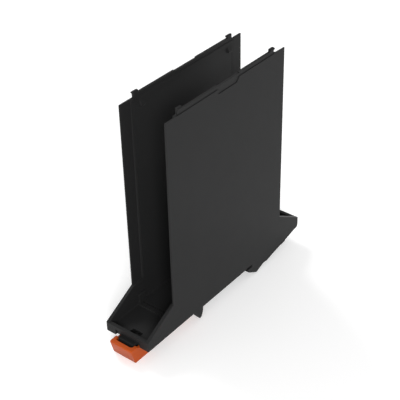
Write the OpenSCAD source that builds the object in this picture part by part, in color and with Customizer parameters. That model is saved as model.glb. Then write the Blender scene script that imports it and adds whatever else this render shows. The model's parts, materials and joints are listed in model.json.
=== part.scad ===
// Open-topped base of a modular enclosure that snaps onto a 35 mm top-hat rail.
// Origin: middle of the rail seat, on the face that the rail touches.
// X runs across the rail towards the fixed hook, Y along the rail, Z away from the rail.

/* [Rail] */
// Width of the mounting rail across its two flanges
rail_w = 35; // [33:0.5:37]
// Sheet thickness of the rail flanges
rail_t = 1; // [0.8:0.1:1.4]
// Play of each rail edge in its undercut
rail_play = 0.1; // [0.05:0.05:0.3]
// How far the fixed hook reaches under the rail flange
hook_grip = 4; // [3:0.5:5]
// How far the closed latch reaches under the other rail flange
latch_grip = 3; // [2:0.25:3.5]

/* [Side walls] */
// Overall width of the module along the rail
module_w = 22.5; // [20:0.5:35]
// Length of the tall side walls across the rail
wall_l = 75; // [65:1:80]
// Distance from the rail centre to the latch-side edge of the tall walls
wall_lead = 36.5; // [33:0.5:40]
// Height of the tall side walls above the rail seat
wall_h = 98.3; // [60:1:130]
// Thickness of the outer skin
skin_t = 1.5; // [1.2:0.1:2]
// Extra thickness of the raised panel on the inside of each wall
panel_t = 1; // [0.5:0.1:1.5]
// Bare strip of skin between the latch-side wall edge and the raised panel
panel_inset_a = 6; // [5:0.5:9]
// Bare strip of skin between the hook-side wall edge and the raised panel
panel_inset_b = 5.8; // [4:0.2:9]
// Thickness of the bare strips on both sides of the raised panel
strip_t = 0.6; // [0.5:0.1:1.1]
// Drop from the wall top to the top of the raised panel
panel_drop = 0.2; // [0.1:0.1:3]
// Length of the thick foot in front of the panel at the latch side
foot_l = 4.3; // [2:0.1:5]
// Height of that foot above the rail seat
foot_h = 7.8; // [6:0.2:12]

/* [Wall tops] */
// Thickness of the tongue that carries the cover
tongue_t = 1; // [0.8:0.1:1.1]
// Height of the tongue above the wall top
tongue_h = 1.6; // [1:0.1:3]
// Distance of the tongue from the outer face
tongue_inset = 0.3; // [0.2:0.1:0.4]
// Bare length of wall top at each end of the tongue
tongue_end = 7.2; // [6:0.2:12]
// Width of the snap tab at each end of the tongue
tab_w = 2.7; // [2:0.1:6]
// Height of the snap tabs above the wall top
tab_h = 2.8; // [2:0.1:5]
// Height of the outward lip at the tip of a snap tab
tab_lip_h = 1; // [0.6:0.1:1.5]
// Overhang of the lip beyond the tongue
tab_lip = 0.45; // [0.2:0.05:0.6]
// Depth of the notch in the outer skin at the wall top
notch_d = 2; // [1:0.1:3]
// Length of the notch floor
notch_l = 11.5; // [6:0.5:16]
// Length of the sloping side of the notch
notch_run = 2; // [1:0.1:5]
// Distance from the latch-side wall edge to the notch
notch_lead = 31.2; // [24:0.2:40]
// Drop of the tongue behind the notch
saddle_d = 0.4; // [0.2:0.1:0.8]
// Drop from the wall top to the cover catches
catch_drop = 0.6; // [0.4:0.1:5]
// Distance from the latch-side end of the raised panel to its cover catch
catch_inset_a = 2.8; // [2:0.1:6]
// Distance from the hook-side end of the raised panel to its cover catch
catch_inset_b = 3.8; // [2:0.1:6]
// Length of a cover catch
catch_l = 2.3; // [1.5:0.1:4]
// Height of a cover catch
catch_h = 2.8; // [2:0.1:4]
// How far a cover catch stands off the panel
catch_t = 0.9; // [0.4:0.1:1.2]

/* [Wings] */
// Distance from the rail centre to the outer face of the latch-side end wall
latch_reach = 52.8; // [50:0.2:58]
// Distance from the rail centre to the outer face of the hook-side end wall
hook_reach = 53.5; // [51:0.5:58]
// Height of the latch-side end wall above the rail seat
latch_wall_h = 4.6; // [4:0.1:8]
// Height of the hook-side end wall above the rail seat
hook_wall_h = 5.4; // [4:0.1:8]
// Height where the latch-side wing meets the tall wall
latch_rise = 13.5; // [11:0.5:20]
// Height where the hook-side wing meets the tall wall
hook_rise = 14.3; // [11:0.5:20]
// Thickness of the end walls
end_t = 1.6; // [1.2:0.1:2]
// Height of the wing floor above the rail seat
wing_floor = 2.3; // [2:0.1:3]
// Thickness of the wing floor
floor_t = 1.6; // [1.2:0.1:1.8]
// Height of the middle floor above the rail seat
mid_floor = 3.15; // [2.8:0.05:3.6]
// Distance of the floor step behind the wall edge
step_inset = 1.6; // [0.5:0.1:3]
// Width of the drain groove beyond the floor step
groove_w = 0.6; // [0.4:0.1:1]
// Distance of the drain groove beyond the floor step
groove_gap = 1.7; // [1:0.1:3]
// Length of the marker pocket in the wing floor
pocket_l = 3.4; // [2:0.1:6]
// Width of the marker pocket in the wing floor
pocket_w = 5.2; // [3:0.2:8]
// Offset of the marker pocket from the middle of the floor
pocket_off = 1.2; // [0:0.1:3]

/* [Rail hook] */
// Depth of the hook tip below the rail seat
hook_d = 6.3; // [5.5:0.1:9]
// Distance from the hook mouth to the hook tip
hook_run = 7.5; // [6:0.1:10]
// Length of the flat under the hook tip
hook_flat = 4.9; // [3:0.1:8]
// Height of the support pads under the hook wing
pad_h = 0.6; // [0.3:0.1:1.2]
// Length of a support pad
pad_l = 3.3; // [2:0.1:5]
// Distance from the hook mouth to the first support pad
pad_first = 15; // [13:0.2:18]
// Spacing of the support pads
pad_pitch = 11.6; // [8:0.2:13]

/* [Rail tooth] */
// Depth of the tooth below the rail seat
tooth_d = 5.1; // [4:0.1:7]
// Length of the tooth along its root
tooth_l = 6.2; // [5:0.1:8]
// Width of the tooth tip
tooth_tip = 1.3; // [1:0.1:2]

/* [Latch] */
// Width of the latch head
latch_w = 11.6; // [9:0.2:13]
// How far the latch head stands out from the end wall
head_out = 4.4; // [3.5:0.1:6]
// Depth of the latch head below the rail seat
head_d = 7.2; // [6:0.1:9]
// Length of the latch head along its underside
head_l = 8.7; // [7:0.1:12]
// Slant of the front face of the latch head from top to bottom
head_slant = 2; // [1:0.1:2.5]
// Height of the latch top above the rail seat
latch_top = 0.4; // [0.2:0.05:0.6]
// Step from the top of the latch head down to its flange
head_step = 1; // [0.8:0.1:1.4]
// Gap between the end wall and the raised part of the latch head
head_back = 0.4; // [0.3:0.1:2]
// Thickness of the latch flange that runs in the guides
flange_t = 1.4; // [1.2:0.1:1.8]
// Width of the tool slot in the latch head
tool_w = 9; // [8.6:0.1:10]
// Depth of the tool slot
tool_d = 3.4; // [2.4:0.1:4]
// Corner radius of the tool slot
tool_r = 1.2; // [0.5:0.1:2]
// Thickness of latch material in front of the tool slot
tool_web = 1.9; // [1.2:0.1:2.4]
// Depth of the sliding bar below the rail seat
bar_d = 5; // [4.6:0.1:6]
// Travel of the latch between closed and open
travel = 4; // [3:0.5:4.5]
// Free gap between the latch and the housing
gap = 0.3; // [0.25:0.05:0.5]
// Overlap of the guide lips with the latch flange
lip_in = 0.9; // [0.6:0.1:1.2]
// Distance from the end wall's outer face to the front of the guides
guide_lead = 5.8; // [5:0.1:8]
// Thickness of the guide ribs and of the guide lips
guide_t = 1.2; // [1:0.1:1.6]
// Width of a latch spring arm
arm_w = 1.1; // [0.8:0.1:1.3]
// Length of a latch spring arm
arm_l = 15; // [8:0.5:18]
// Width of the lug that the release tool levers against
lug_w = 8; // [6:0.1:8]
// How far that lug stands out from the end wall
lug_out = 1.2; // [0.8:0.1:2]

/* [Hidden] */
$fn = 48;
cut = 1;
tiny = 0.01;
chamfer = 0.5;

// Places along X
wall_x0 = -wall_lead;
wall_x1 = wall_x0 + wall_l;
panel_x0 = wall_x0 + panel_inset_a;
panel_x1 = wall_x1 - panel_inset_b;
tongue_x0 = wall_x0 + tongue_end;
tongue_x1 = wall_x1 - tongue_end;
notch_x0 = wall_x0 + notch_lead;
notch_x1 = notch_x0 + notch_l;
notch_x2 = notch_x1 + notch_run;
pocket_x0 = -latch_reach + end_t + 0.6;
rail_edge = rail_w / 2 + rail_play;
mouth_x = rail_w / 2 - hook_grip;
nose_x = latch_grip - rail_w / 2;
step_x = wall_x0 + step_inset;
tip_x = mouth_x + hook_run;
heel_x = tip_x + hook_flat;
end_x0 = -latch_reach;
end_x1 = hook_reach;

// Places along Y
half_w = module_w / 2;
skin_y = half_w - skin_t;
panel_y = skin_y - panel_t;
tongue_y = half_w - tongue_inset;

// Places along Z
hook_top = -(rail_t + rail_play);
slot_roof = 3 * rail_play;
floor_z = wing_floor - floor_t;
flange_top = latch_top - head_step;
heel_z = -0.72 * hook_d;
toe_z = 0.3;
toe_chamfer = 1.2;
pocket_wall = 0.8;
pocket_z = flange_top + gap + pocket_wall;
slope = atan2(toe_z - heel_z, end_x1 - heel_x);
core_roof = mid_floor - end_t;
core_x0 = -mouth_x + 0.5;
core_x1 = mouth_x - 4.5;
seat_rib = 1.2;

// Latch guides
flange_z = flange_top - flange_t;
guide_y = latch_w / 2 + gap;
neck_y = latch_w / 2 - lip_in;
lip_y = neck_y + gap;
lip_top = flange_z - gap;
lip_z = lip_top - guide_t;
recess_y = guide_y + gap;
web_t = 0.6;
recess_x1 = end_x0 + end_t - web_t;
recess_top = 2.75;
guide_x0 = end_x0 + guide_lead;
head_x0 = end_x0 - head_out;
head_x1 = head_x0 + head_slant + head_l;
shoulder_x = guide_x0 - gap;
slot_x0 = head_x0 + tool_web;
slot_x1 = end_x0 + end_t + travel + gap;
tail_x = -rail_edge - gap;
block_l = 7;
block_x = tail_x - block_l;
guide_x1 = block_x - travel - gap;
nose_top = hook_top;
nose_chamfer = 1.8;
arm_y = guide_y + guide_t + gap;
lug_z = -1.5;
lug_top = 0.8;

// Stretches an X-Z outline between two places along Y.
module across(y0, y1) {
  translate([0, y1, 0])
    rotate([90, 0, 0])
      linear_extrude(y1 - y0)
        children();
}

// A box given by its two ends on each axis.
module block(x0, x1, y0, y1, z0, z1) {
  translate([x0, y0, z0])
    cube([x1 - x0, y1 - y0, z1 - z0]);
}

// The same thing on both sides of the middle plane.
module both_sides() {
  children();
  mirror([0, 1, 0])
    children();
}

// Outline of the underside from the rail seat out to the hook-side end wall.
module hook_outline() {
  polygon([
    [mouth_x - cut, 0],
    [mouth_x, 0],
    [mouth_x, slot_roof],
    [rail_edge, slot_roof],
    [rail_edge, hook_top],
    [mouth_x, hook_top],
    [mouth_x + 1.9, hook_top - 1.9],
    [tip_x - 0.6, -hook_d + 0.35],
    [tip_x + 0.2, -hook_d],
    [heel_x - 1, heel_z - 0.35],
    [heel_x, heel_z],
    [end_x1 - chamfer, toe_z],
    [end_x1, toe_z + toe_chamfer],
    [end_x1, mid_floor],
    [mouth_x - cut, mid_floor]
  ]);
}

// Outline of the tooth that stands against the latch-side rail edge.
module tooth_outline() {
  polygon([
    [-rail_edge, 0.5],
    [-rail_edge, 0],
    [-rail_edge + 0.15, -1.9],
    [-rail_edge - 0.8, 0.35 - tooth_d],
    [-rail_edge - 0.8 - tooth_tip, -tooth_d],
    [-rail_edge - tooth_l, 0],
    [-rail_edge - tooth_l, 0.5]
  ]);
}

// Full outline of one side: both wings, the tall wall, the tooth and the hook.
module side_outline() {
  polygon([
    [end_x0, 0],
    [mouth_x, 0],
    [mouth_x, mid_floor],
    [end_x1, mid_floor],
    [end_x1, hook_wall_h],
    [wall_x1, hook_rise],
    [wall_x1, wall_h],
    [wall_x0, wall_h],
    [wall_x0, latch_rise],
    [end_x0, latch_wall_h]
  ]);
  hook_outline();
  tooth_outline();
}

// Section of the floor between the side walls, cored out over the hook.
module floor_outline() {
  polygon([
    [end_x0, floor_z],
    [-rail_edge, floor_z],
    [-rail_edge, 0],
    [mouth_x, 0],
    [mouth_x, mid_floor],
    [step_x, mid_floor],
    [step_x, wing_floor],
    [end_x0, wing_floor]
  ]);
  difference() {
    hook_outline();
    polygon([
      [rail_edge + skin_t, mid_floor + cut],
      [rail_edge + skin_t, hook_top - 1.2],
      [tip_x - 0.2, skin_t + 0.4 - hook_d],
      [heel_x - 0.6, heel_z + skin_t],
      [end_x1 - end_t, toe_z + skin_t],
      [end_x1 - end_t, mid_floor + cut]
    ]);
  }
}

// One side wall with the raised panel on its inner face.
module side_wall() {
  difference() {
    union() {
      across(skin_y, half_w)
        side_outline();
      block(panel_x0, panel_x1, panel_y, skin_y + tiny, 1, wall_h - panel_drop);
      block(panel_x0 - foot_l, panel_x0 + tiny, panel_y, skin_y + tiny, 1, foot_h);
    }
    thin_strips();
    wall_notch();
  }
  wall_tongue();
  wall_catches();
}

// What thins the tall wall on both sides of its panel.
module thin_strips() {
  block(wall_x0 - cut, panel_x0, skin_y - cut, half_w - strip_t, latch_rise, wall_h + cut);
  block(panel_x1, wall_x1 + cut, skin_y - cut, half_w - strip_t, hook_rise, wall_h + cut);
}

// Notch in the skin at the wall top, square on one side and sloping on the other.
module wall_notch() {
  across(tongue_y, half_w + cut)
    polygon([
      [notch_x0, wall_h - notch_d],
      [notch_x1, wall_h - notch_d],
      [notch_x2, wall_h],
      [notch_x2, wall_h + cut],
      [notch_x0, wall_h + cut]
    ]);
}

// Tongue along the wall top, with a low saddle behind the notch and a snap tab at each end.
module wall_tongue() {
  across(tongue_y - tongue_t, tongue_y)
    polygon([
      [tongue_x0, wall_h - cut],
      [tongue_x0, wall_h + tongue_h],
      [notch_x0, wall_h + tongue_h],
      [notch_x0, wall_h + tongue_h - saddle_d],
      [notch_x2, wall_h + tongue_h - saddle_d],
      [notch_x2, wall_h + tongue_h],
      [tongue_x1, wall_h + tongue_h],
      [tongue_x1, wall_h - cut]
    ]);
  snap_tab(tongue_x0);
  snap_tab(tongue_x1 - tab_w);
}

// A snap tab whose lip points outwards, with a lead-in on top.
module snap_tab(x) {
  translate([x, tongue_y, wall_h])
    rotate([90, 0, 90])
      linear_extrude(tab_w)
        polygon([
          [0, -cut],
          [0, tab_h - tab_lip_h],
          [tab_lip, tab_h - tab_lip_h + 0.2],
          [tab_lip, tab_h - 0.4],
          [-0.1, tab_h],
          [-tongue_t, tab_h],
          [-tongue_t, -cut]
        ]);
}

// Cover catches near both ends of the raised panel.
module wall_catches() {
  cover_catch(panel_x0 + catch_inset_a);
  cover_catch(panel_x1 - catch_inset_b - catch_l);
}

// A wedge on the inner face that is square below and ramps in from above.
module cover_catch(x) {
  translate([x, panel_y, wall_h - catch_drop - catch_h])
    rotate([90, 0, 90])
      linear_extrude(catch_l)
        polygon([
          [0.2, 0],
          [-catch_t, 0],
          [-catch_t, 0.4 * catch_h],
          [0.2, catch_h]
        ]);
}

// Support pads that stand proud of the sloping underside.
module support_pads() {
  for (i = [0, 1])
    translate([heel_x, 0, heel_z])
      rotate([0, -slope, 0])
        translate([(mouth_x + pad_first + i * pad_pitch - heel_x) / cos(slope), 0, 0])
          block(0, pad_l, -half_w, half_w, -pad_h, 0.8);
}

// Guide rib with its inward lip, which carries one edge of the latch flange.
module latch_guide() {
  block(guide_x0, guide_x1, guide_y, guide_y + guide_t, lip_z, floor_z + tiny);
  block(guide_x0, guide_x1, lip_y, guide_y + tiny, lip_z, lip_top);
}

// Lug on the end wall that reaches into the tool slot of the latch.
module release_lug() {
  block(end_x0 - lug_out, end_x0 + end_t, -lug_w / 2, lug_w / 2, lug_z, lug_top);
}

// Room of the marker pocket, or with a wall round it the boss that holds it.
module marker_pocket(wall, top) {
  y = -pocket_off;
  block(pocket_x0 - wall, pocket_x0 + pocket_l + wall, y - pocket_w / 2 - wall,
    y + pocket_w / 2 + wall, pocket_z - wall, top);
}

// Everything cut out of the floor and the end wall.
module floor_cuts() {
  // recess over the latch
  block(end_x0 - cut, recess_x1, -recess_y, recess_y, -cut, recess_top);
  marker_pocket(0, wing_floor + cut);
  // drain groove
  block(step_x + groove_gap, step_x + groove_gap + groove_w, -panel_y, panel_y,
    mid_floor - 0.4, mid_floor + cut);
  // cored seat, which leaves a land along each rail flange and one rib between them
  both_sides()
    block(core_x0, core_x1, seat_rib / 2, skin_y - seat_rib, -cut, core_roof);
}

module housing() {
  color([0.16, 0.165, 0.17])
    union() {
      both_sides()
        side_wall();
      difference() {
        union() {
          across(-skin_y - tiny, skin_y + tiny)
            floor_outline();
          marker_pocket(pocket_wall, floor_z + tiny);
          block(end_x0, end_x0 + end_t, -half_w + tiny, half_w - tiny, 0, latch_wall_h);
          block(end_x1 - end_t, end_x1, -half_w + tiny, half_w - tiny,
            toe_z + toe_chamfer, hook_wall_h);
        }
        floor_cuts();
      }
      support_pads();
      both_sides()
        latch_guide();
      release_lug();
    }
}

// Side section of the latch head.
module head_outline() {
  polygon([
    [head_x0 + 0.4, latch_top],
    [head_x0 + 0.1, latch_top - 0.5],
    [head_x0 + head_slant, 0.3 - head_d],
    [head_x0 + head_slant + 0.4, -head_d],
    [head_x1, -head_d],
    [head_x1 + 0.6, lip_z - gap],
    [shoulder_x, lip_z - gap],
    [shoulder_x, flange_top],
    [end_x0 - head_back, flange_top],
    [end_x0 - head_back, latch_top]
  ]);
}

// Side section of the bar with the nose that grips the rail.
module bar_outline() {
  polygon([
    [shoulder_x - cut, flange_z + tiny],
    [shoulder_x - cut, -bar_d],
    [nose_x - nose_chamfer - 1, -bar_d],
    [nose_x, nose_top - 0.8],
    [nose_x, nose_top],
    [tail_x, nose_top],
    [tail_x, flange_z + tiny]
  ]);
}

// Tool slot with rounded front corners.
module tool_slot() {
  translate([0, 0, latch_top - tool_d])
    linear_extrude(tool_d + cut)
      union() {
        translate([slot_x0 + tool_r, tool_w / 2 - tool_r])
          circle(r = tool_r);
        translate([slot_x0 + tool_r, tool_r - tool_w / 2])
          circle(r = tool_r);
        translate([slot_x0, tool_r - tool_w / 2])
          square([2 * tool_r, tool_w - 2 * tool_r]);
        translate([slot_x0 + tool_r, -tool_w / 2])
          square([slot_x1 - slot_x0 - tool_r, tool_w]);
      }
}

// Springy arm beside the guide rib, joined to the block behind the nose.
module spring_arm() {
  block(block_x, block_x + 3, neck_y - tiny, arm_y + arm_w, flange_z, flange_top);
  block(block_x + 3 - arm_l, block_x + tiny, arm_y, arm_y + arm_w, flange_z, flange_top);
}

module latch() {
  color([0.78, 0.33, 0.12])
    difference() {
      union() {
        across(-latch_w / 2, latch_w / 2)
          head_outline();
        block(shoulder_x - cut, tail_x, -latch_w / 2, latch_w / 2, flange_z, flange_top);
        across(-neck_y, neck_y)
          bar_outline();
        block(block_x, tail_x, -latch_w / 2, latch_w / 2, -bar_d, flange_z + tiny);
        both_sides()
          spring_arm();
      }
      tool_slot();
    }
}

housing();
latch();
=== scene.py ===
"""Dressed scene of an open-topped enclosure base that clips onto a 35 mm top-hat rail.

Each moulding is taken from its solid, given the small edge radii of its mould and a fine eroded
grain, and shown in soft studio light on a pale floor. The housing's raised wall panels are pared
down to their slim wall section first.
"""

from __future__ import annotations

import json
import logging
import math
from dataclasses import dataclass
from enum import Enum

import bmesh
import bpy
from mathutils import Matrix, Vector

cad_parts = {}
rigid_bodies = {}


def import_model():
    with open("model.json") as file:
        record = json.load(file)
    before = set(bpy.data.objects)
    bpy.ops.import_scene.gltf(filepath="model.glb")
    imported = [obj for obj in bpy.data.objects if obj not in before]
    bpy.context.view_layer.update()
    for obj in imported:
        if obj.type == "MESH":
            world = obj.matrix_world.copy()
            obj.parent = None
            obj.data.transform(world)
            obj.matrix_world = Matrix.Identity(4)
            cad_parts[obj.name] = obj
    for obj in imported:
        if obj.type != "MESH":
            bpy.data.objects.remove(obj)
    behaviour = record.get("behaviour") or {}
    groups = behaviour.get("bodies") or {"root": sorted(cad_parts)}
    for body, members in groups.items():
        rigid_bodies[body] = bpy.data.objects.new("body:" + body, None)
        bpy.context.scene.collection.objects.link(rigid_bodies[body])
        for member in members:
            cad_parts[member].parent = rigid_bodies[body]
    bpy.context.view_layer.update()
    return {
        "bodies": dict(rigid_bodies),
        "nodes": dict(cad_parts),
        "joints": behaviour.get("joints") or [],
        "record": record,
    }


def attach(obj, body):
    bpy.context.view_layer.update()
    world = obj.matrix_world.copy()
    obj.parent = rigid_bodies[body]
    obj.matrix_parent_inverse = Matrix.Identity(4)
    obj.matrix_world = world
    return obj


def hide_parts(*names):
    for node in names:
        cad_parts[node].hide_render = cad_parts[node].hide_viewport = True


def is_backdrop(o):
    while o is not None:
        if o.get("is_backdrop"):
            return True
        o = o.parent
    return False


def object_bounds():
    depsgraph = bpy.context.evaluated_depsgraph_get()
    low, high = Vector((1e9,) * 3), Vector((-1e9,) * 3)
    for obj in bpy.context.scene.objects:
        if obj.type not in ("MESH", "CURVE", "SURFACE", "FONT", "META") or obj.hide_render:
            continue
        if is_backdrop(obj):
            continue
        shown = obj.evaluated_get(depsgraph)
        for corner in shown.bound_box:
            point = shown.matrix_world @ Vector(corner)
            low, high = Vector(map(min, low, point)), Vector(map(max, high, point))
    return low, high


LOG = logging.getLogger("enclosure")
MM = 0.001
SLACK_MM = 0.01
Colour = tuple[float, float, float]


class Node(Enum):
    """The two mouldings of the part, by the names of their solids."""

    HOUSING = "housing"
    LATCH = "latch"


class Slot(Enum):
    """Material slots of the part's record."""

    BLACK = "black_plastic"
    ORANGE = "orange_plastic"


@dataclass(frozen=True)
class MouldedPlastic:
    """A coloured plastic with the fine grain of a spark-eroded mould.

    Attributes:
        name: Name of the material.
        colour: Linear base colour.
        roughness: Mean roughness of the surface.
        specular: Specular level of the surface.
        grain_mm: Size of the surface grain.
        grain_height_mm: Height of the surface grain.
        grain_strength: Share of that height which the light shows.
        tone: Share by which the colour drifts over the moulding.
        drift_per_m: Colour patches per metre.
        streak_per_m: Flow lines of the melt per metre.
        streak_spread: Rise and fall of the roughness between the flow lines.
    """

    name: str
    colour: Colour
    roughness: float
    specular: float = 0.5
    grain_mm: float = 0.35
    grain_height_mm: float = 0.012
    grain_strength: float = 0.6
    tone: float = 0.05
    drift_per_m: float = 45.0
    streak_per_m: float = 160.0
    streak_spread: float = 0.015

    def build(self) -> bpy.types.Material:
        """Builds the node tree.

        Returns:
            The finished material.
        """
        material = bpy.data.materials.new(self.name)
        material.use_nodes = True
        tree = material.node_tree
        shader = tree.nodes["Principled BSDF"]
        shader.inputs["Specular IOR Level"].default_value = self.specular
        place = tree.nodes.new("ShaderNodeTexCoord")
        grain = self._noise(tree, place, 1.0 / (self.grain_mm * MM), 3.0)
        drift = self._noise(tree, place, self.drift_per_m, 2.0)
        streak = self._noise(tree, place, self.streak_per_m, 4.0, distortion=0.6)
        self._link_colour(tree, shader, drift)
        self._link_roughness(tree, shader, streak)
        self._link_bump(tree, shader, grain)
        return material

    @staticmethod
    def _noise(
        tree: bpy.types.NodeTree,
        place: bpy.types.Node,
        scale: float,
        detail: float,
        distortion: float = 0.0,
    ) -> bpy.types.Node:
        """Adds one noise texture in object space.

        Args:
            tree: Node tree of the material.
            place: Texture coordinate node.
            scale: Features per metre.
            detail: Octaves of the noise.
            distortion: Warp of the pattern.

        Returns:
            The noise node.
        """
        noise = tree.nodes.new("ShaderNodeTexNoise")
        noise.inputs["Scale"].default_value = scale
        noise.inputs["Detail"].default_value = detail
        noise.inputs["Distortion"].default_value = distortion
        tree.links.new(place.outputs["Object"], noise.inputs["Vector"])
        return noise

    def _link_colour(
        self, tree: bpy.types.NodeTree, shader: bpy.types.Node, noise: bpy.types.Node
    ) -> None:
        """Drifts the base colour a little over the moulding.

        Args:
            tree: Node tree of the material.
            shader: Surface shader.
            noise: Slow noise that drives the drift.
        """
        mix = tree.nodes.new("ShaderNodeMix")
        mix.data_type = "RGBA"
        low = tuple(c * (1.0 - self.tone) for c in self.colour)
        high = tuple(c * (1.0 + self.tone) for c in self.colour)
        mix.inputs["A"].default_value = (*low, 1.0)
        mix.inputs["B"].default_value = (*high, 1.0)
        tree.links.new(noise.outputs["Fac"], mix.inputs["Factor"])
        tree.links.new(mix.outputs["Result"], shader.inputs["Base Color"])

    def _link_roughness(
        self, tree: bpy.types.NodeTree, shader: bpy.types.Node, noise: bpy.types.Node
    ) -> None:
        """Varies the roughness between the flow lines of the melt.

        Args:
            tree: Node tree of the material.
            shader: Surface shader.
            noise: Noise that drives the variation.
        """
        spread = tree.nodes.new("ShaderNodeMapRange")
        spread.inputs["From Min"].default_value = 0.3
        spread.inputs["From Max"].default_value = 0.7
        spread.inputs["To Min"].default_value = self.roughness - self.streak_spread
        spread.inputs["To Max"].default_value = self.roughness + self.streak_spread
        tree.links.new(noise.outputs["Fac"], spread.inputs["Value"])
        tree.links.new(spread.outputs["Result"], shader.inputs["Roughness"])

    def _link_bump(
        self, tree: bpy.types.NodeTree, shader: bpy.types.Node, noise: bpy.types.Node
    ) -> None:
        """Raises the surface grain.

        Args:
            tree: Node tree of the material.
            shader: Surface shader.
            noise: Fine noise of the grain.
        """
        bump = tree.nodes.new("ShaderNodeBump")
        bump.inputs["Strength"].default_value = self.grain_strength
        bump.inputs["Distance"].default_value = self.grain_height_mm * MM
        tree.links.new(noise.outputs["Fac"], bump.inputs["Height"])
        tree.links.new(bump.outputs["Normal"], shader.inputs["Normal"])


BLACK = MouldedPlastic("black_polyamide", (0.0176, 0.0177, 0.0179), 0.4, specular=0.06)
ORANGE = MouldedPlastic(
    "orange_polyamide", (0.41, 0.067, 0.011), 0.4, specular=0.08, grain_height_mm=0.008
)


@dataclass
class Moulding:
    """One injection moulding, dressed from its solid.

    Attributes:
        node: Solid that the moulding stands for.
        slot: Material slot of the record; not used.
        finish: Plastic that it is moulded in.
        edge_mm: Radius that the mould leaves on an edge with room for it.
        edge_steps: Facets across each edge radius.
        edge_room: Shortest edge that may end where a radius ends, in edge radii.
        crease_deg: Angle above which an edge gets its radius.
        flat_deg: Angle below which two faces count as one.
        smooth_deg: Angle below which an edge is shaded smoothly.
        weld_mm: Distance below which two corners count as one.
    """

    node: Node
    slot: Slot
    finish: MouldedPlastic
    edge_mm: float = 0.18
    edge_steps: int = 2
    edge_room: float = 2.6
    crease_deg: float = 30.0
    flat_deg: float = 0.3
    smooth_deg: float = 40.0
    weld_mm: float = 0.002

    def build(self, frame: dict) -> bpy.types.Object:
        """Copies the solid, rounds its edges and puts the plastic on it.

        Args:
            frame: The loaded frame.

        Returns:
            The dressed moulding.
        """
        solid = frame["nodes"][self.node.value]
        mesh = self._rounded(solid)
        shell = bpy.data.objects.new(f"{self.node.value}_moulding", mesh)
        bpy.context.scene.collection.objects.link(shell)
        shell.data.materials.clear()
        shell.data.materials.append(self.finish.build())
        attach(shell, self.node.value)
        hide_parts(self.node.value)
        LOG.info("%s: %d faces", shell.name, len(mesh.polygons))
        return shell

    def _rounded(self, solid: bpy.types.Object) -> bpy.types.Mesh:
        """Makes a closed copy of the solid with small radii on its edges, inside the solid's box.

        Args:
            solid: Object that holds the solid's mesh.

        Returns:
            The new mesh.
        """
        bm = bmesh.new()
        bm.from_mesh(solid.data)
        bm.transform(solid.matrix_world)
        bmesh.ops.remove_doubles(bm, verts=bm.verts, dist=self.weld_mm * MM)
        bm = self._refine(bm)
        bmesh.ops.dissolve_limit(
            bm,
            angle_limit=math.radians(self.flat_deg),
            use_dissolve_boundaries=False,
            verts=bm.verts,
            edges=bm.edges,
        )
        low, high = self._box(bm)
        sharp = [e for e in bm.edges if self._is_crease(e)]
        rounds = bmesh.ops.bevel(
            bm,
            geom=sharp,
            offset=self.edge_mm * MM,
            offset_type="OFFSET",
            segments=self.edge_steps,
            profile=0.5,
            affect="EDGES",
            clamp_overlap=False,
            material=-1,
        )
        for vert in bm.verts:
            vert.co = Vector([min(max(c, a), b) for c, a, b in zip(vert.co, low, high)])
        bmesh.ops.recalc_face_normals(bm, faces=bm.faces)
        self._shade(bm, set(rounds["faces"]))
        mesh = bpy.data.meshes.new(f"{self.node.value}_moulding")
        bm.to_mesh(mesh)
        bm.free()
        return mesh

    def _refine(self, bm: bmesh.types.BMesh) -> bmesh.types.BMesh:
        """Leaves the shape as it is; a moulding with more to show overrides this."""
        return bm

    @staticmethod
    def _box(bm: bmesh.types.BMesh) -> tuple[Vector, Vector]:
        """Finds the lower and the upper corner of the box round a mesh."""
        spans = [sorted(v.co[axis] for v in bm.verts) for axis in range(3)]
        return Vector([s[0] for s in spans]), Vector([s[-1] for s in spans])

    def _shade(self, bm: bmesh.types.BMesh, rounds: set[bmesh.types.BMFace]) -> None:
        """Keeps flat faces flat and shades the edge radii and curved walls smoothly.

        Args:
            bm: Mesh of the moulding.
            rounds: Faces that make the edge radii.
        """
        for face in bm.faces:
            face.smooth = True
        for edge in bm.edges:
            if len(edge.link_faces) != 2:
                continue
            first, second = edge.link_faces
            meets_flat = (first in rounds) != (second in rounds)
            shallow = edge.calc_face_angle(0.0) < math.radians(self.smooth_deg)
            edge.smooth = shallow and not meets_flat

    def _is_crease(self, edge: bmesh.types.BMEdge) -> bool:
        """Tells whether an edge is sharp enough for a radius and has room for one.

        Args:
            edge: Edge of the moulding.

        Returns:
            True where the edge gets its radius.
        """
        if not edge.is_manifold or edge.calc_face_angle(0.0) < math.radians(self.crease_deg):
            return False
        room = self.edge_room * self.edge_mm * MM
        return all(near.calc_length() > room for vert in edge.verts for near in vert.link_edges)


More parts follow.
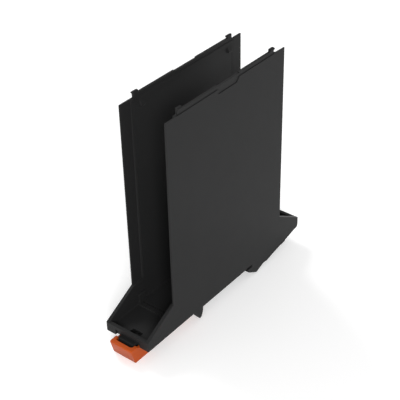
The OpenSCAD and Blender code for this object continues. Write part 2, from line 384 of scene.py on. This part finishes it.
@dataclass
class Housing(Moulding):
    """The housing, with its raised panels drawn in their slim wall section.

    Attributes:
        panel_x0: Latch-side end of the raised panels in millimetres.
        panel_x1: Hook-side end of the raised panels.
        panel_y: Distance of the solid's panel face from the middle plane.
        slim_y: Distance of the drawn panel face from the middle plane.
        floor_z: Height of the middle floor.
        hollow_x: Where the hollow over the hook begins.
        hollow_z: Lower end of the panel in that hollow.
        hollow_lap: How far the cut in the hollow reaches above the middle floor.
        top_z: Height that clears the wall top.
        catch_x: Latch-side edges of the two cover catches.
        catch_z: Lower end of the cover catches.
        catch_size: Length, stand-off and height of a cover catch.
        catch_knee: Share of a catch's height at which its ramp begins.
        catch_root: How deep a catch is sunk into its panel.
        cut_reach: How far the paring cut reaches inwards past the solid's panel face.
        cut_overrun: How far that cut runs past both ends of the panels.
    """

    panel_x0: float = -30.5
    panel_x1: float = 32.7
    panel_y: float = 8.75
    slim_y: float = 9.65
    floor_z: float = 3.15
    hollow_x: float = 19.2
    hollow_z: float = 0.9
    hollow_lap: float = 1.0
    top_z: float = 99.0
    catch_x: tuple[float, float] = (-26.6, 27.7)
    catch_z: float = 93.9
    catch_size: tuple[float, float, float] = (2.3, 0.9, 2.8)
    catch_knee: float = 0.4
    catch_root: float = 0.2
    cut_reach: float = 2.0
    cut_overrun: float = 0.1

    def _refine(self, bm: bmesh.types.BMesh) -> bmesh.types.BMesh:
        """Pares the panels down and puts the cover catches back on them.

        Args:
            bm: Mesh of the solid, which is used up.

        Returns:
            The refined mesh.
        """
        body = self._object("pare_body", bm)
        inner = self.panel_y - self.cut_reach
        spans = [
            (
                (self.panel_x0 - self.cut_overrun, self.panel_x1 + self.cut_overrun),
                (self.floor_z, self.top_z),
            ),
            ((self.hollow_x, self.panel_x1), (self.hollow_z, self.floor_z + self.hollow_lap)),
        ]
        for span_x, span_z in spans:
            tool = bmesh.new()
            for side in (-1.0, 1.0):
                self._block(tool, span_x, (side * inner, side * self.slim_y), span_z)
            body = self._combine(body, self._object("pare_tool", tool), "DIFFERENCE")
        catches = bmesh.new()
        for side in (-1.0, 1.0):
            for start in self.catch_x:
                self._catch(catches, start, side)
        body = self._combine(body, self._object("catches", catches), "UNION")
        refined = bmesh.new()
        refined.from_mesh(body.data)
        bpy.data.objects.remove(body)
        bmesh.ops.remove_doubles(refined, verts=refined.verts, dist=self.weld_mm * MM)
        return refined

    def _catch(self, bm: bmesh.types.BMesh, start: float, side: float) -> None:
        """Adds one catch: a block whose upper part ramps back to the panel.

        Args:
            bm: Mesh that takes the catch.
            start: Latch-side edge of the catch.
            side: Side of the middle plane, -1 or 1.
        """
        length, out, height = self.catch_size
        front, root = side * (self.slim_y - out), side * (self.slim_y + self.catch_root)
        ends = (start, start + length)
        low = (self.catch_z, self.catch_z + self.catch_knee * height)
        high = (low[1], self.catch_z + height)
        self._block(bm, ends, (front, root), low)
        verts = self._block(bm, ends, (front, root), high)
        tips = [v for v in verts if v.co.z > (high[1] - SLACK_MM) * MM]
        bmesh.ops.translate(
            bm,
            verts=[v for v in tips if abs(v.co.y) < (self.slim_y - SLACK_MM) * MM],
            vec=(0.0, side * out * MM, 0.0),
        )
        bmesh.ops.remove_doubles(bm, verts=bm.verts, dist=self.weld_mm * MM)
        inside = [f for f in bm.faces if self._is_inside(f, low[1])]
        bmesh.ops.delete(bm, geom=inside, context="FACES_ONLY")

    @staticmethod
    def _is_inside(face: bmesh.types.BMFace, height: float) -> bool:
        """Tells whether a face lies flat at the given height, between two stacked blocks."""
        return all(abs(v.co.z - height * MM) < SLACK_MM * MM for v in face.verts)

    @staticmethod
    def _block(
        bm: bmesh.types.BMesh,
        span_x: tuple[float, float],
        span_y: tuple[float, float],
        span_z: tuple[float, float],
    ) -> list[bmesh.types.BMVert]:
        """Adds a box between two ends on each axis.

        Args:
            bm: Mesh that takes the box.
            span_x: Ends along X in millimetres.
            span_y: Ends along Y.
            span_z: Ends along Z.

        Returns:
            The corners of the box.
        """
        size = Vector([abs(b - a) * MM for a, b in (span_x, span_y, span_z)])
        middle = Vector([(a + b) / 2.0 * MM for a, b in (span_x, span_y, span_z)])
        matrix = Matrix.Translation(middle) @ Matrix.Diagonal(size).to_4x4()
        return bmesh.ops.create_cube(bm, size=1.0, matrix=matrix)["verts"]

    @staticmethod
    def _object(name: str, bm: bmesh.types.BMesh) -> bpy.types.Object:
        """Turns a working mesh into an object, and frees it.

        Args:
            name: Name of the object and its mesh.
            bm: Working mesh, which is used up.

        Returns:
            The new object.
        """
        bmesh.ops.recalc_face_normals(bm, faces=bm.faces)
        mesh = bpy.data.meshes.new(name)
        bm.to_mesh(mesh)
        bm.free()
        made = bpy.data.objects.new(name, mesh)
        bpy.context.scene.collection.objects.link(made)
        return made

    @staticmethod
    def _combine(
        body: bpy.types.Object, tool: bpy.types.Object, operation: str
    ) -> bpy.types.Object:
        """Cuts a tool out of a body or joins it on.

        Args:
            body: Object that is changed.
            tool: Object that is used up.
            operation: DIFFERENCE or UNION.

        Returns:
            The changed body.
        """
        step = body.modifiers.new("step", "BOOLEAN")
        step.operation = operation
        step.solver = "EXACT"
        step.object = tool
        graph = bpy.context.evaluated_depsgraph_get()
        mesh = bpy.data.meshes.new_from_object(body.evaluated_get(graph))
        body.modifiers.clear()
        body.data = mesh
        bpy.data.objects.remove(tool)
        return body


@dataclass
class Studio:
    """Pale floor, soft light and the camera.

    Attributes:
        eye: Camera place in metres.
        azimuth: Direction of view about Z in degrees.
        elevation: Height of the view in degrees.
        roll: Turn of the camera about its own axis in degrees.
        lens: Focal length in millimetres on the sensor.
        sensor: Sensor width in millimetres.
        horizon: Radiance of the surroundings at eye level.
        zenith: Radiance of the surroundings high above the part.
        fade_height: Sine of the height at which the zenith's radiance is reached.
        paper: Reflectance of the floor.
        paper_lift: Radiance added to the floor where it is seen or mirrored.
        floor_half: Half the width of the floor in metres.
        floor_gap_mm: Space between the floor and the lowest point of the part.
        lamp_size: Diameter of both lamps in metres.
        lamp_aim: Height of the point that both lamps face in metres.
        key_power: Power of the stronger lamp in watts.
        key_place: Middle of that lamp in metres.
        back_power: Power of the weaker lamp behind the part in watts.
        back_place: Middle of that lamp in metres.
    """

    eye: Vector = Vector((-0.27704, -0.22195, 0.28749))
    azimuth: float = -50.89
    elevation: float = 34.85
    roll: float = -1.40
    lens: float = 93.66
    sensor: float = 36.0
    horizon: float = 0.54
    zenith: float = 0.5
    fade_height: float = 0.5
    paper: float = 0.9
    paper_lift: float = 0.25
    floor_half: float = 4.0
    floor_gap_mm: float = 0.02
    lamp_size: float = 0.6
    lamp_aim: float = 0.05
    key_power: float = 20.0
    key_place: Vector = Vector((-1.04, -0.99, 0.75))
    back_power: float = 9.0
    back_place: Vector = Vector((0.3, 1.1, 1.1))

    def build(self) -> None:
        """Builds everything round the part."""
        self._world()
        self._floor()
        self._lamp("key", self.key_power, self.key_place)
        self._lamp("back", self.back_power, self.back_place)
        self._camera()

    def _world(self) -> None:
        """Surrounds the part with soft light that fades from the horizon to the zenith."""
        world = bpy.data.worlds.new("studio")
        world.use_nodes = True
        tree = world.node_tree
        place = tree.nodes.new("ShaderNodeTexCoord")
        split = tree.nodes.new("ShaderNodeSeparateXYZ")
        fade = tree.nodes.new("ShaderNodeMapRange")
        fade.interpolation_type = "SMOOTHSTEP"
        fade.inputs["From Min"].default_value = 0.0
        fade.inputs["From Max"].default_value = self.fade_height
        fade.inputs["To Min"].default_value = self.horizon
        fade.inputs["To Max"].default_value = self.zenith
        tree.links.new(place.outputs["Generated"], split.inputs["Vector"])
        tree.links.new(split.outputs["Z"], fade.inputs["Value"])
        tree.links.new(fade.outputs["Result"], tree.nodes["Background"].inputs["Strength"])
        tree.nodes["Background"].inputs["Color"].default_value = (1.0, 1.0, 1.0, 1.0)
        bpy.context.scene.world = world

    def _floor(self) -> None:
        """Lays the pale floor under the lowest point of the part."""
        bm = bmesh.new()
        bmesh.ops.create_grid(bm, x_segments=1, y_segments=1, size=self.floor_half)
        low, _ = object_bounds()
        height = low[2] - self.floor_gap_mm * MM
        bmesh.ops.translate(bm, verts=bm.verts, vec=(0.0, 0.0, height))
        mesh = bpy.data.meshes.new("floor")
        bm.to_mesh(mesh)
        bm.free()
        floor = bpy.data.objects.new("floor", mesh)
        bpy.context.scene.collection.objects.link(floor)
        mesh.materials.append(self._paper())
        floor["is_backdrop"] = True

    def _paper(self) -> bpy.types.Material:
        """Makes matt white paper that looks plain white and keeps the shadow.

        Returns:
            The finished material.
        """
        material = bpy.data.materials.new("floor_paper")
        material.use_nodes = True
        tree = material.node_tree
        shader = tree.nodes["Principled BSDF"]
        shader.inputs["Base Color"].default_value = (self.paper, self.paper, self.paper, 1.0)
        shader.inputs["Roughness"].default_value = 0.9
        shader.inputs["Specular IOR Level"].default_value = 0.0
        shader.inputs["Emission Color"].default_value = (1.0, 1.0, 1.0, 1.0)
        path = tree.nodes.new("ShaderNodeLightPath")
        seen = tree.nodes.new("ShaderNodeMath")
        seen.operation = "MAXIMUM"
        shown = tree.nodes.new("ShaderNodeMath")
        shown.operation = "MAXIMUM"
        lift = tree.nodes.new("ShaderNodeMath")
        lift.operation = "MULTIPLY"
        lift.inputs[1].default_value = self.paper_lift
        tree.links.new(path.outputs["Is Camera Ray"], seen.inputs[0])
        tree.links.new(path.outputs["Is Glossy Ray"], seen.inputs[1])
        tree.links.new(seen.outputs[0], shown.inputs[0])
        tree.links.new(path.outputs["Is Transmission Ray"], shown.inputs[1])
        tree.links.new(shown.outputs[0], lift.inputs[0])
        tree.links.new(lift.outputs[0], shader.inputs["Emission Strength"])
        return material

    def _lamp(self, name: str, power: float, place: Vector) -> None:
        """Hangs a soft round lamp that faces the part.

        Args:
            name: Name of the lamp.
            power: Power in watts.
            place: Middle of the lamp in metres.
        """
        data = bpy.data.lights.new(name, "AREA")
        data.shape = "DISK"
        data.size = self.lamp_size
        data.energy = power
        lamp = bpy.data.objects.new(name, data)
        lamp.location = place
        aim = Vector((0.0, 0.0, self.lamp_aim)) - lamp.location
        lamp.rotation_euler = aim.to_track_quat("-Z", "Y").to_euler()
        bpy.context.scene.collection.objects.link(lamp)

    def _camera(self) -> None:
        """Places the camera and sets how its picture is shown."""
        data = bpy.data.cameras.new("camera")
        data.lens = self.lens
        data.sensor_width = self.sensor
        data.clip_start = 0.01
        camera = bpy.data.objects.new("camera", data)
        a, e = math.radians(self.azimuth), math.radians(self.elevation)
        back = Vector((math.sin(a) * math.cos(e), -math.cos(a) * math.cos(e), math.sin(e)))
        turn = back.to_track_quat("Z", "Y").to_matrix()
        turn = turn @ Matrix.Rotation(math.radians(self.roll), 3, "Z")
        camera.matrix_world = Matrix.Translation(self.eye) @ turn.to_4x4()
        scene = bpy.context.scene
        scene.collection.objects.link(camera)
        scene.camera = camera
        scene.view_settings.view_transform = "Standard"


def main() -> None:
    """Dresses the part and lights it."""
    logging.basicConfig(level=logging.INFO, format="%(name)s: %(message)s")
    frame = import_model()
    Housing(Node.HOUSING, Slot.BLACK, BLACK).build(frame)
    Moulding(Node.LATCH, Slot.ORANGE, ORANGE, edge_mm=0.22).build(frame)
    Studio().build()


if __name__ == "__main__":
    main()
